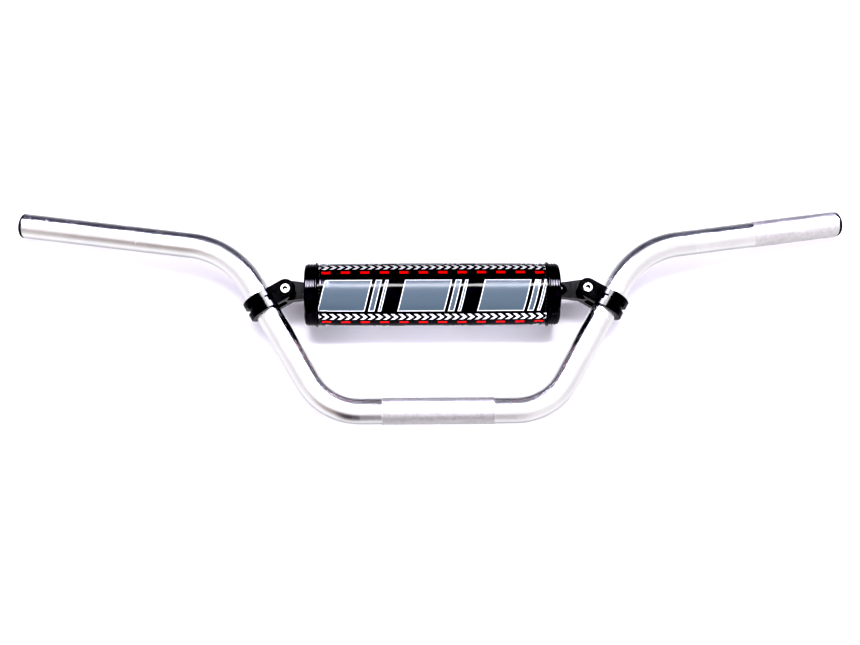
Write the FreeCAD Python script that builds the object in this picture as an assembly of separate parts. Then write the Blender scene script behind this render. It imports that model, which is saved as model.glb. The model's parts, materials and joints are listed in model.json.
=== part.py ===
import FreeCAD, Part
import math
import os

# Motorcycle handlebar with a clamp-on crossbar and a round pad.
# Millimetres, +Z up along the rise, +X towards the rider's left grip, -Y towards the front wheel.
# The origin is the middle of the centre section's axis, where the triple clamp holds the bar.

Vector = FreeCAD.Vector
X_AXIS = Vector(1, 0, 0)
Y_AXIS = Vector(0, 1, 0)
Z_AXIS = Vector(0, 0, 1)
ORIGIN = Vector(0, 0, 0)

# The tube and its bends. Lengths run between the points where the straight axes meet.
TUBE_RADIUS = 11.1
TUBE_BORE_RADIUS = 7.9
TUBE_MIDDLE_RADIUS = (TUBE_RADIUS + TUBE_BORE_RADIUS) / 2
HALF_CENTRE = 95.0
LOWER_BEND_RADIUS = 50.0
RISER_ANGLE = 60.0
RISER_LENGTH = 163.0
UPPER_BEND_RADIUS = 78.0
GRIP_LENGTH = 192.8
GRIP_SWEEP = 10.0
GRIP_RISE = 9.5
TUBE_END_CHAMFER = 0.4

# How far a cutting shape runs past what it cuts.
CUT_MARGIN = 5.0

# Knurled zones stand a little proud of the tube.
KNURL_HEIGHT = 0.2
KNURL_RADIUS = TUBE_RADIUS + KNURL_HEIGHT
CENTRE_KNURL_LENGTH = 96.0
GRIP_KNURL_LENGTH = 84.0

# End plugs: a flange just under the tube's size, with a rounded edge, and a split stem in the bore.
PLUG_FLANGE_RADIUS = 10.9
PLUG_FLANGE_THICKNESS = 3.0
PLUG_EDGE_RADIUS = 2.0
PLUG_STEM_RADIUS = TUBE_BORE_RADIUS - 0.05
PLUG_STEM_BORE_RADIUS = 6.0
PLUG_STEM_LENGTH = 18.0
PLUG_STEM_LEAD = 1.0
PLUG_FLOOR_DEPTH = 1.0
PLUG_SLOT_WIDTH = 2.4
PLUG_SLOT_LENGTH = 13.0

# Clamps. The station is measured up the riser from the lower corner of the axis.
CLAMP_STATION = 107.5
CLAMP_BORE_RADIUS = TUBE_RADIUS + 0.1
CLAMP_RADIUS = 15.6
CLAMP_WIDTH = 16.4
CLAMP_CHAMFER = 0.6
BOLT_OFFSET = 22.2
EAR_HALF_DEPTH = 13.5
CHANNEL_WIDTH = 5.2
CHANNEL_FLOOR_RADIUS = 13.2
CHANNEL_END = 1.5
POCKET_START = 3.6
POCKET_END = 9.0

# Pivot screws: M5 socket caps with lock nuts.
SCREW_RADIUS = 2.5
SCREW_HOLE_RADIUS = 2.7
SCREW_HEAD_RADIUS = 4.25
SCREW_HEAD_HEIGHT = 5.0
SCREW_SOCKET_FLATS = 4.0
SCREW_SOCKET_DEPTH = 3.2
SCREW_EDGE = 0.4
COUNTERBORE_RADIUS = 4.6
NUT_BORE_RADIUS = SCREW_RADIUS + 0.05
NUT_FLATS = 8.0
NUT_POCKET_FLATS = 8.2
NUT_HEIGHT = 4.6
NUT_POCKET_DEPTH = 4.8

# Crossbar tube and the fittings at its ends, measured inboard from the pivot screw.
TONGUE_HALF_THICKNESS = 5.0
EAR_GAP = 2 * TONGUE_HALF_THICKNESS + 0.2
TONGUE_NOSE_RADIUS = 8.9
TONGUE_SHOULDER_ANGLE = 82.0
TONGUE_STEP = 13.4
PLATE_HALF_THICKNESS = 4.0
PLATE_END = 24.0
NECK_RADIUS = 6.5
PLATE_END_HALF_WIDTH = NECK_RADIUS - 0.2
BULLET_TIP = 14.4
BULLET_LENGTH = 9.0
BULLET_MIDDLE_REACH = 0.36
BULLET_MIDDLE_HEIGHT = 0.68
COLLAR_END = 32.0
CROSSBAR_BORE_RADIUS = 4.9
SPIGOT_RADIUS = CROSSBAR_BORE_RADIUS - 0.05
SPIGOT_LENGTH = 16.0
SPIGOT_LEAD = 1.0
SPRING_PIN_RADIUS = 1.5
SPRING_PIN_BORE_RADIUS = 0.8
SPRING_PIN_HOLE_RADIUS = SPRING_PIN_RADIUS + 0.05
SPRING_PIN_INSET = 8.0
SPRING_PIN_RECESS = 0.3
SPRING_PIN_SLIT = 0.5
BUSH_RADIUS = 4.0
BUSH_BORE_RADIUS = 2.75

# Pad. It hangs a little below the crossbar, and sits a little towards the rider's right.
PAD_LENGTH = 218.0
PAD_SHIFT = -4.0
PAD_DROP = 3.0
PAD_RADIUS = 27.0
PAD_COVER_THICKNESS = 1.2
PAD_BAND_RADIUS = 26.7
PAD_BAND_LENGTH = 10.0
PAD_END_DISC_THICKNESS = 2.0
PAD_END_HOLE_RADIUS = 9.2
PAD_BORE_RADIUS = 7.0
PAD_MOUTH_LENGTH = 20.0
PAD_SKIN_GAP = 0.1
FOAM_RADIUS = PAD_RADIUS - PAD_COVER_THICKNESS - PAD_SKIN_GAP
PIPING_RADIUS = 0.9
CLOSURE_HALF_ANGLE = 20.0
CLOSURE_THICKNESS = 0.8
CLOSURE_LENGTH = 180.0

# Places worked out from the sizes above, on the +X side.
RISER_DIRECTION = Vector(math.cos(math.radians(RISER_ANGLE)), 0, math.sin(math.radians(RISER_ANGLE)))
GRIP_DIRECTION = Vector(
    math.cos(math.radians(GRIP_RISE)) * math.cos(math.radians(GRIP_SWEEP)),
    math.cos(math.radians(GRIP_RISE)) * math.sin(math.radians(GRIP_SWEEP)),
    math.sin(math.radians(GRIP_RISE)),
)
LOWER_CORNER = Vector(HALF_CENTRE, 0, 0)
UPPER_CORNER = LOWER_CORNER + RISER_DIRECTION * RISER_LENGTH
TUBE_END = UPPER_CORNER + GRIP_DIRECTION * GRIP_LENGTH
CLAMP_CENTRE = LOWER_CORNER + RISER_DIRECTION * CLAMP_STATION
TOWARDS_BOLT = Vector(-RISER_DIRECTION.z, 0, RISER_DIRECTION.x)
PIVOT = CLAMP_CENTRE + TOWARDS_BOLT * BOLT_OFFSET
CROSSBAR_HALF_LENGTH = PIVOT.x - COLLAR_END
PAD_CENTRE = Vector(PAD_SHIFT, 0, PIVOT.z - PAD_DROP)


def mirrored(shape):
    """The same shape on the -X side."""
    return shape.mirror(ORIGIN, X_AXIS)


def placed(shape, position, direction):
    """A shape made about +Z, moved so that its +Z points along direction from position."""
    shape.Placement = FreeCAD.Placement(position, FreeCAD.Rotation(Z_AXIS, direction))
    return shape


def cylinder(radius, length, start, direction):
    return Part.makeCylinder(radius, length, start, direction)


def pipe(radius, bore, length, start, direction):
    return cylinder(radius, length, start, direction).cut(cylinder(bore, length, start, direction))


def chamfered_cylinder(radius, length, chamfer, start, direction):
    """A cylinder with both end edges chamfered."""
    profile = [
        Vector(0, 0, 0),
        Vector(radius - chamfer, 0, 0),
        Vector(radius, 0, chamfer),
        Vector(radius, 0, length - chamfer),
        Vector(radius - chamfer, 0, length),
        Vector(0, 0, length),
        Vector(0, 0, 0),
    ]
    return placed(Part.Face(Part.makePolygon(profile)).revolve(ORIGIN, Z_AXIS, 360), start, direction)


def box_between(low, high):
    size = high - low
    return Part.makeBox(size.x, size.y, size.z, low)


def hexagon_prism(flats, height, start, direction):
    """A hexagonal bar of the given width across its flats."""
    corner_radius = flats / math.sqrt(3)
    corners = []
    for turn in range(7):
        angle = math.radians(60 * turn)
        corners.append(Vector(corner_radius * math.cos(angle), corner_radius * math.sin(angle), 0))
    prism = Part.Face(Part.makePolygon(corners)).extrude(Z_AXIS * height)
    return placed(prism, start, direction)


def export(shape, node):
    shape.exportStep("parts/" + node + ".step")


def export_pair(shape, node):
    """Writes the +X side as the left piece and its mirror image as the right piece."""
    export(shape, node + "_left")
    export(mirrored(shape), node + "_right")


# Tube

def bend_cut_back(turn, bend_radius):
    """How far before a corner of the axis its bend begins."""
    return bend_radius * math.tan(turn / 2)


def hollow_bend(corner, arriving, leaving, bend_radius):
    """The bent stretch of tube at one corner of the axis."""
    turn = arriving.getAngle(leaving)
    start = corner - arriving * bend_cut_back(turn, bend_radius)
    axis = arriving.cross(leaving).normalize()
    centre = start + axis.cross(arriving).normalize() * bend_radius
    outer = Part.Wire(Part.makeCircle(TUBE_RADIUS, start, arriving))
    inner = Part.Wire(Part.makeCircle(TUBE_BORE_RADIUS, start, arriving))
    section = Part.Face(outer).cut(Part.Face(inner))
    return section.Faces[0].revolve(centre, axis, math.degrees(turn))


def knurl_sleeve(length, start, direction):
    sleeve = chamfered_cylinder(KNURL_RADIUS, length, KNURL_HEIGHT, start, direction)
    return sleeve.cut(cylinder(TUBE_MIDDLE_RADIUS, length, start, direction))


def tube_half():
    """The +X half of the bare tube, from the middle of the centre section to the open end."""
    lower_turn = X_AXIS.getAngle(RISER_DIRECTION)
    upper_turn = RISER_DIRECTION.getAngle(GRIP_DIRECTION)
    lower_cut = bend_cut_back(lower_turn, LOWER_BEND_RADIUS)
    upper_cut = bend_cut_back(upper_turn, UPPER_BEND_RADIUS)
    centre_run = pipe(TUBE_RADIUS, TUBE_BORE_RADIUS, HALF_CENTRE - lower_cut, ORIGIN, X_AXIS)
    riser_start = LOWER_CORNER + RISER_DIRECTION * lower_cut
    riser_run = pipe(
        TUBE_RADIUS, TUBE_BORE_RADIUS, RISER_LENGTH - lower_cut - upper_cut, riser_start, RISER_DIRECTION
    )
    grip_start = UPPER_CORNER + GRIP_DIRECTION * upper_cut
    grip_length = GRIP_LENGTH - upper_cut
    grip_run = cylinder(TUBE_RADIUS, grip_length - TUBE_END_CHAMFER, grip_start, GRIP_DIRECTION)
    end_start = TUBE_END - GRIP_DIRECTION * TUBE_END_CHAMFER
    end_cone = Part.makeCone(
        TUBE_RADIUS, TUBE_RADIUS - TUBE_END_CHAMFER, TUBE_END_CHAMFER, end_start, GRIP_DIRECTION
    )
    grip_bore = cylinder(TUBE_BORE_RADIUS, grip_length, grip_start, GRIP_DIRECTION)
    grip_run = grip_run.fuse(end_cone).cut(grip_bore)
    lower_bend = hollow_bend(LOWER_CORNER, X_AXIS, RISER_DIRECTION, LOWER_BEND_RADIUS)
    upper_bend = hollow_bend(UPPER_CORNER, RISER_DIRECTION, GRIP_DIRECTION, UPPER_BEND_RADIUS)
    return centre_run.multiFuse([lower_bend, riser_run, upper_bend, grip_run])


def make_tube():
    half = tube_half()
    centre_knurl = knurl_sleeve(CENTRE_KNURL_LENGTH, -X_AXIS * (CENTRE_KNURL_LENGTH / 2), X_AXIS)
    knurl_start = TUBE_END - GRIP_DIRECTION * (GRIP_KNURL_LENGTH + TUBE_END_CHAMFER)
    grip_knurl = knurl_sleeve(GRIP_KNURL_LENGTH, knurl_start, GRIP_DIRECTION)
    return half.multiFuse([mirrored(half), centre_knurl, grip_knurl]).removeSplitter()


def make_plug():
    """A push-in plug made about +Z, with its flange's inner face at zero."""
    face_z = PLUG_FLANGE_THICKNESS
    flat_radius = PLUG_FLANGE_RADIUS - PLUG_EDGE_RADIUS
    diagonal = PLUG_EDGE_RADIUS * math.sqrt(0.5)
    edge_low = Vector(PLUG_FLANGE_RADIUS, 0, face_z - PLUG_EDGE_RADIUS)
    edge_middle = Vector(flat_radius + diagonal, 0, face_z - PLUG_EDGE_RADIUS + diagonal)
    edge_top = Vector(flat_radius, 0, face_z)
    rounded_edge = Part.Arc(edge_low, edge_middle, edge_top).toShape()
    rest = Part.makePolygon([
        edge_top,
        Vector(0, 0, face_z),
        Vector(0, 0, -PLUG_FLOOR_DEPTH),
        Vector(PLUG_STEM_BORE_RADIUS, 0, -PLUG_FLOOR_DEPTH),
        Vector(PLUG_STEM_BORE_RADIUS, 0, -PLUG_STEM_LENGTH),
        Vector(PLUG_STEM_RADIUS - PLUG_STEM_LEAD, 0, -PLUG_STEM_LENGTH),
        Vector(PLUG_STEM_RADIUS, 0, -PLUG_STEM_LENGTH + PLUG_STEM_LEAD),
        Vector(PLUG_STEM_RADIUS, 0, 0),
        Vector(PLUG_FLANGE_RADIUS, 0, 0),
        edge_low,
    ])
    plug = Part.Face(Part.Wire([rounded_edge] + rest.Edges)).revolve(ORIGIN, Z_AXIS, 360)
    half_slot = PLUG_SLOT_WIDTH / 2
    slot_top = PLUG_SLOT_LENGTH - PLUG_STEM_LENGTH
    reach = PLUG_STEM_RADIUS + CUT_MARGIN
    for half_x, half_y in ((reach, half_slot), (half_slot, reach)):
        low = Vector(-half_x, -half_y, -PLUG_STEM_LENGTH - CUT_MARGIN)
        plug = plug.cut(box_between(low, Vector(half_x, half_y, slot_top)))
    return placed(plug, TUBE_END, GRIP_DIRECTION)


# Clamp, made about its own axes: +X towards the screw, +Y to the front, +Z up the riser

def in_clamp_place(shape):
    """Moves a shape from the clamp's own axes onto the +X riser."""
    matrix = FreeCAD.Matrix(
        TOWARDS_BOLT.x, 0, RISER_DIRECTION.x, CLAMP_CENTRE.x,
        0, -1, 0, 0,
        TOWARDS_BOLT.z, 0, RISER_DIRECTION.z, CLAMP_CENTRE.z,
        0, 0, 0, 1,
    )
    shape.Placement = FreeCAD.Placement(matrix)
    return shape


def clamp_channels():
    """The groove round the outside of the collar, and the pocket left between its two cross ribs."""
    half_width = CHANNEL_WIDTH / 2
    start = Vector(0, 0, -half_width)
    ring = pipe(CLAMP_RADIUS + CUT_MARGIN, CHANNEL_FLOOR_RADIUS, CHANNEL_WIDTH, start, Z_AXIS)
    reach = CLAMP_RADIUS + 2 * CUT_MARGIN
    outer_side = box_between(Vector(-reach, -reach, -reach), Vector(CHANNEL_END, reach, reach))
    pocket_side = box_between(Vector(POCKET_START, -reach, -reach), Vector(POCKET_END, reach, reach))
    return ring.common(outer_side.fuse(pocket_side))


def make_clamp():
    half_width = CLAMP_WIDTH / 2
    low = Vector(0, 0, -half_width)
    collar = chamfered_cylinder(CLAMP_RADIUS, CLAMP_WIDTH, CLAMP_CHAMFER, low, Z_AXIS)
    ears = box_between(
        Vector(0, -EAR_HALF_DEPTH, -half_width), Vector(BOLT_OFFSET, EAR_HALF_DEPTH, half_width)
    )
    long_edges = [edge for edge in ears.Edges if edge.BoundBox.XLength > BOLT_OFFSET / 2]
    ears = ears.makeChamfer(CLAMP_CHAMFER, long_edges)
    nose_start = Vector(BOLT_OFFSET, -EAR_HALF_DEPTH, 0)
    nose = chamfered_cylinder(half_width, 2 * EAR_HALF_DEPTH, CLAMP_CHAMFER, nose_start, Y_AXIS)
    body = collar.multiFuse([ears, nose])
    half_gap = EAR_GAP / 2
    gap = box_between(
        Vector(0, -half_gap, -half_width), Vector(BOLT_OFFSET + half_width, half_gap, half_width)
    )
    bore = cylinder(CLAMP_BORE_RADIUS, CLAMP_WIDTH, low, Z_AXIS)
    hole = cylinder(SCREW_HOLE_RADIUS, 2 * EAR_HALF_DEPTH, nose_start, Y_AXIS)
    head_seat = Vector(BOLT_OFFSET, EAR_HALF_DEPTH, 0)
    counterbore = cylinder(COUNTERBORE_RADIUS, SCREW_HEAD_HEIGHT, head_seat, -Y_AXIS)
    nut_pocket = hexagon_prism(NUT_POCKET_FLATS, NUT_POCKET_DEPTH, nose_start, Y_AXIS)
    body = body.cut(gap.multiFuse([bore, hole, counterbore, nut_pocket]))
    return in_clamp_place(body.cut(clamp_channels()).removeSplitter())


def make_screw():
    head_bottom = Vector(BOLT_OFFSET, EAR_HALF_DEPTH - SCREW_HEAD_HEIGHT, 0)
    head = chamfered_cylinder(SCREW_HEAD_RADIUS, SCREW_HEAD_HEIGHT, SCREW_EDGE, head_bottom, Y_AXIS)
    socket_start = Vector(BOLT_OFFSET, EAR_HALF_DEPTH, 0)
    socket = hexagon_prism(SCREW_SOCKET_FLATS, SCREW_SOCKET_DEPTH, socket_start, -Y_AXIS)
    shank_length = 2 * EAR_HALF_DEPTH - SCREW_HEAD_HEIGHT
    shank_start = Vector(BOLT_OFFSET, -EAR_HALF_DEPTH, 0)
    shank = chamfered_cylinder(SCREW_RADIUS, shank_length, SCREW_EDGE, shank_start, Y_AXIS)
    neck_length = 2 * SCREW_EDGE
    neck = cylinder(SCREW_RADIUS, neck_length, head_bottom - Y_AXIS * neck_length, Y_AXIS)
    return in_clamp_place(head.cut(socket).multiFuse([shank, neck]).removeSplitter())


def make_nut():
    floor = Vector(BOLT_OFFSET, -EAR_HALF_DEPTH + NUT_POCKET_DEPTH, 0)
    nut = hexagon_prism(NUT_FLATS, NUT_HEIGHT, floor, -Y_AXIS)
    return in_clamp_place(nut.cut(cylinder(NUT_BORE_RADIUS, NUT_HEIGHT, floor, -Y_AXIS)))


# Crossbar, its end fittings and the small parts in them

def tongue_outline(end):
    """The flat of an end fitting, seen from the front: a round nose about the pivot, then a taper."""
    tangent_angle = math.radians(TONGUE_SHOULDER_ANGLE)
    shoulder_x = TONGUE_NOSE_RADIUS * math.cos(tangent_angle)
    shoulder_z = TONGUE_NOSE_RADIUS * math.sin(tangent_angle)
    share = (end - shoulder_x) / (PLATE_END - shoulder_x)
    end_z = shoulder_z + (PLATE_END_HALF_WIDTH - shoulder_z) * share
    nose = Part.Arc(
        Vector(shoulder_x, 0, shoulder_z),
        Vector(-TONGUE_NOSE_RADIUS, 0, 0),
        Vector(shoulder_x, 0, -shoulder_z),
    )
    sides = Part.makePolygon([
        Vector(shoulder_x, 0, -shoulder_z),
        Vector(end, 0, -end_z),
        Vector(end, 0, end_z),
        Vector(shoulder_x, 0, shoulder_z),
    ])
    return Part.Face(Part.Wire([nose.toShape()] + sides.Edges))


def slab(outline, half_thickness):
    """A flat outline in the XZ plane, thickened equally to both sides."""
    plate = outline.extrude(Y_AXIS * (2 * half_thickness))
    plate.translate(-Y_AXIS * half_thickness)
    return plate


def bullet():
    """The round neck: a pointed run-out over the plate, then a collar as thick as the crossbar."""
    tip = Vector(BULLET_TIP, 0, 0)
    shoulder = Vector(BULLET_TIP + BULLET_LENGTH, 0, NECK_RADIUS)
    middle_x = BULLET_TIP + BULLET_LENGTH * BULLET_MIDDLE_REACH
    middle = Vector(middle_x, 0, NECK_RADIUS * BULLET_MIDDLE_HEIGHT)
    nose = Part.Arc(tip, middle, shoulder).toShape()
    rest = Part.makePolygon([
        shoulder,
        Vector(COLLAR_END, 0, NECK_RADIUS),
        Vector(COLLAR_END, 0, SPIGOT_RADIUS),
        Vector(COLLAR_END + SPIGOT_LENGTH - SPIGOT_LEAD, 0, SPIGOT_RADIUS),
        Vector(COLLAR_END + SPIGOT_LENGTH, 0, SPIGOT_RADIUS - SPIGOT_LEAD),
        Vector(COLLAR_END + SPIGOT_LENGTH, 0, 0),
        tip,
    ])
    return Part.Face(Part.Wire([nose] + rest.Edges)).revolve(ORIGIN, X_AXIS, 360)


def at_pivot(shape):
    """Moves a shape from the pivot's own axes, +X inboard, to the +X end of the crossbar."""
    shape = shape.mirror(ORIGIN, X_AXIS)
    shape.translate(PIVOT)
    return shape


def spring_pin_place():
    return Vector(COLLAR_END + SPRING_PIN_INSET, -NECK_RADIUS + SPRING_PIN_RECESS, 0)


def make_crossbar_end():
    tongue = slab(tongue_outline(TONGUE_STEP), TONGUE_HALF_THICKNESS)
    plate = slab(tongue_outline(PLATE_END), PLATE_HALF_THICKNESS)
    fitting = tongue.multiFuse([plate, bullet()])
    eye_start = Vector(0, -TONGUE_HALF_THICKNESS, 0)
    fitting = fitting.cut(cylinder(BUSH_RADIUS, 2 * TONGUE_HALF_THICKNESS, eye_start, Y_AXIS))
    pin_hole = cylinder(SPRING_PIN_HOLE_RADIUS, 2 * NECK_RADIUS, spring_pin_place(), Y_AXIS)
    return at_pivot(fitting.cut(pin_hole).removeSplitter())


def make_bush():
    start = Vector(0, -TONGUE_HALF_THICKNESS, 0)
    return at_pivot(pipe(BUSH_RADIUS, BUSH_BORE_RADIUS, 2 * TONGUE_HALF_THICKNESS, start, Y_AXIS))


def make_spring_pin():
    """A rolled pin: a short tube with a slit along it."""
    start = spring_pin_place()
    length = -2 * start.y
    pin = pipe(SPRING_PIN_RADIUS, SPRING_PIN_BORE_RADIUS, length, start, Y_AXIS)
    half_slit = SPRING_PIN_SLIT / 2
    slit = box_between(
        start + Vector(0, 0, -half_slit), start + Vector(SPRING_PIN_RADIUS + CUT_MARGIN, length, half_slit)
    )
    return at_pivot(pin.cut(slit))


def make_crossbar_tube():
    start = Vector(-CROSSBAR_HALF_LENGTH, 0, PIVOT.z)
    tube = pipe(NECK_RADIUS, CROSSBAR_BORE_RADIUS, 2 * CROSSBAR_HALF_LENGTH, start, X_AXIS)
    for side in (-1, 1):
        hole_x = side * (CROSSBAR_HALF_LENGTH - SPRING_PIN_INSET)
        hole_start = Vector(hole_x, -2 * NECK_RADIUS, PIVOT.z)
        tube = tube.cut(cylinder(SPRING_PIN_HOLE_RADIUS, 4 * NECK_RADIUS, hole_start, Y_AXIS))
    return tube


# Pad. Its round outside is centred below the crossbar, and its bore follows the crossbar.

def pad_pipe(radius, inner_radius, start_x, length):
    start = Vector(start_x, 0, PAD_CENTRE.z)
    return pipe(radius, inner_radius, length, start, X_AXIS)


def crossbar_hole(radius, start_x, length):
    return cylinder(radius, length, Vector(start_x, 0, PIVOT.z), X_AXIS)


def make_pad_foam():
    length = PAD_LENGTH - 2 * (PAD_END_DISC_THICKNESS + PAD_SKIN_GAP)
    low_x = PAD_SHIFT - length / 2
    foam = cylinder(FOAM_RADIUS, length, Vector(low_x, 0, PAD_CENTRE.z), X_AXIS)
    foam = foam.cut(crossbar_hole(PAD_BORE_RADIUS, low_x, length))
    for mouth_x in (low_x, low_x + length - PAD_MOUTH_LENGTH):
        foam = foam.cut(crossbar_hole(PAD_END_HOLE_RADIUS, mouth_x, PAD_MOUTH_LENGTH))
    return foam


def make_pad_cover():
    length = PAD_LENGTH - 2 * (PAD_BAND_LENGTH + PIPING_RADIUS)
    return pad_pipe(PAD_RADIUS, PAD_RADIUS - PAD_COVER_THICKNESS, PAD_SHIFT - length / 2, length)


def make_pad_end():
    """The plain end of the cover: a short band and the disc that closes it round the crossbar."""
    length = PAD_BAND_LENGTH - PIPING_RADIUS
    outer_x = PAD_SHIFT + PAD_LENGTH / 2
    band = pad_pipe(PAD_BAND_RADIUS, PAD_RADIUS - PAD_COVER_THICKNESS, outer_x - length, length)
    disc_x = outer_x - PAD_END_DISC_THICKNESS
    disc_start = Vector(disc_x, 0, PAD_CENTRE.z)
    disc = cylinder(PAD_BAND_RADIUS, PAD_END_DISC_THICKNESS, disc_start, X_AXIS)
    disc = disc.cut(crossbar_hole(PAD_END_HOLE_RADIUS, disc_x, PAD_END_DISC_THICKNESS))
    return band.fuse(disc).removeSplitter()


def make_piping():
    ring_x = PAD_SHIFT + PAD_LENGTH / 2 - PAD_BAND_LENGTH
    return Part.makeTorus(PAD_RADIUS, PIPING_RADIUS, Vector(ring_x, 0, PAD_CENTRE.z), X_AXIS)


def make_pad_closure():
    """A thin strip along the back of the cover, as wide as its angle allows."""
    start_x = PAD_SHIFT - CLOSURE_LENGTH / 2
    shell = pad_pipe(PAD_RADIUS + CLOSURE_THICKNESS, PAD_RADIUS, start_x, CLOSURE_LENGTH)
    half_width = PAD_RADIUS * math.sin(math.radians(CLOSURE_HALF_ANGLE))
    back = box_between(
        Vector(start_x, 0, PAD_CENTRE.z - half_width),
        Vector(start_x + CLOSURE_LENGTH, 2 * PAD_RADIUS, PAD_CENTRE.z + half_width),
    )
    return shell.common(back)


def mirrored_on_pad(shape):
    """The same shape at the pad's other end."""
    return shape.mirror(PAD_CENTRE, X_AXIS)


def export_pad_pair(shape, node):
    export(shape, node + "_left")
    export(mirrored_on_pad(shape), node + "_right")


os.makedirs("parts", exist_ok=True)

export(make_tube(), "handlebar_tube")
export_pair(make_plug(), "end_plug")
export_pair(make_clamp(), "clamp")
export_pair(make_screw(), "pivot_screw")
export_pair(make_nut(), "lock_nut")
export(make_crossbar_tube(), "crossbar_tube")
export_pair(make_crossbar_end(), "crossbar_end")
export_pair(make_bush(), "pivot_bush")
export_pair(make_spring_pin(), "spring_pin")
export(make_pad_foam(), "pad_foam")
export(make_pad_cover(), "pad_cover")
export_pad_pair(make_pad_end(), "pad_end")
export_pad_pair(make_piping(), "pad_piping")
export(make_pad_closure(), "pad_closure")
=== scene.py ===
import json
import math

import bmesh
import bpy
from mathutils import Matrix, Vector, noise


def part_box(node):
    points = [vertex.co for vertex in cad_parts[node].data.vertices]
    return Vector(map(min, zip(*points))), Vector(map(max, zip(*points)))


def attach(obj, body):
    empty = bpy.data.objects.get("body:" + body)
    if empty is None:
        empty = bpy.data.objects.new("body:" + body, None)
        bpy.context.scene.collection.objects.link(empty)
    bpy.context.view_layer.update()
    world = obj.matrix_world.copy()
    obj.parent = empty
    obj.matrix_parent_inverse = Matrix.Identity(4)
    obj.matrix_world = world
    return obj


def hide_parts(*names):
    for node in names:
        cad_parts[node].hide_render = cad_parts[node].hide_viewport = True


# The looks of a motorcycle handlebar with a clamp-on crossbar and a round pad.
# Metres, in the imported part's frame.

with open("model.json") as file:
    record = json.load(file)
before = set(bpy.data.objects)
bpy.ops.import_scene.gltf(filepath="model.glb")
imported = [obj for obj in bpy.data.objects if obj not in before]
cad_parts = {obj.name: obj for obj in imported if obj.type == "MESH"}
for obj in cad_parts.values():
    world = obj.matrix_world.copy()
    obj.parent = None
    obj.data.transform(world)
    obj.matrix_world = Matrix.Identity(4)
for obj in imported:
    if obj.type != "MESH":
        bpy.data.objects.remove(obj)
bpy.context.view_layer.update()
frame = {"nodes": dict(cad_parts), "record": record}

MM = 0.001

# The view: the bar lies on its back on a pale table, and the camera stands about 23 degrees from
# the table's normal, towards the bar's foot.
VIEW_TARGET = Vector((-5.99, 0, 76.55)) * MM
VIEW_DISTANCE = 1.1
VIEW_ELEVATION = math.radians(-11.87)
VIEW_YAW = math.radians(-1.93)
VIEW_ROLL = math.radians(-0.67)
VIEW_LENS = 53.54
VIEW_SENSOR = 36
VIEW_GAMMA = 0.7
VIEW_BLACK_LEVEL = 0.045

# Colours. A pair is the two tones that a material's mottling runs between.
TUBE_SILVER = ((0.83, 0.83, 0.845), (0.93, 0.925, 0.925))
KNURL_SILVER = ((0.66, 0.64, 0.66), (0.93, 0.92, 0.93))
ANODISED_BLACK = ((0.002, 0.002, 0.003), (0.005, 0.0045, 0.006))
# Paler grey on the anodised edges: partly wear, partly a painted edge highlight.
EDGE_WEAR_AND_SHEEN_GREY = (0.12, 0.115, 0.13, 1)
SCREW_STEEL = ((0.30, 0.29, 0.27), (0.44, 0.43, 0.41))
# Painted shade in the screws' sockets.
SOCKET_PAINTED_SHADE = (0.004, 0.004, 0.005, 1)
NUT_STEEL = ((0.42, 0.41, 0.38), (0.76, 0.74, 0.68))
BUSH_BRONZE = ((0.40, 0.26, 0.10), (0.70, 0.50, 0.24))
PIN_STEEL = ((0.16, 0.16, 0.18), (0.42, 0.42, 0.44))
PLUG_BLACK = ((0.006, 0.006, 0.007), (0.014, 0.013, 0.015))
PLAIN_BLACK = ((0.003, 0.003, 0.004), (0.009, 0.008, 0.010))
PRINTED_BLACK = ((0.002, 0.002, 0.003), (0.007, 0.006, 0.009))
# The panels' ink at bottom, middle and top, graded lighter upwards as painted light from above.
PANEL_INK_WITH_PAINTED_LIGHT = ((0.080, 0.108, 0.134), (0.098, 0.124, 0.151), (0.138, 0.160, 0.192))
WHITE_INK = ((0.46, 0.46, 0.48), (0.56, 0.56, 0.58))
RED_INK = ((0.46, 0.003, 0.004), (0.58, 0.006, 0.008))
FOAM_BLACK = ((0.035, 0.035, 0.037), (0.010, 0.010, 0.011))
THREAD_BLACK = ((0.008, 0.008, 0.010), (0.045, 0.043, 0.050))
WEAVE_BLACK = ((0.006, 0.006, 0.008), (0.035, 0.033, 0.038))
TABLE_GREY = ((0.80, 0.785, 0.82), (0.82, 0.805, 0.84))

# Knurl: pyramids in crossing rows, with their points on a grid.
KNURL_PITCH = 1.2 * MM
KNURL_HEIGHT = 0.12 * MM
KNURL_VALLEY_GAP = 0.02 * MM
KNURL_ROOT_DEPTH = 0.4 * MM
KNURL_UNEVENNESS = 0.22

# Rub marks on the tube fade out between these distances from a clamp's middle.
RUBBED_NEAR = 16 * MM
RUBBED_FAR = 34 * MM

# Painted shade on the screws, nearly black, by distance from their axes: on the socket's walls, and in a
# ring on its floor.
SOCKET_REACH = 2.5 * MM
SHADE_RING_START = 1.0 * MM
SHADE_RING_FULL = 1.4 * MM
SHADE_RING_END = 1.95 * MM

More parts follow.
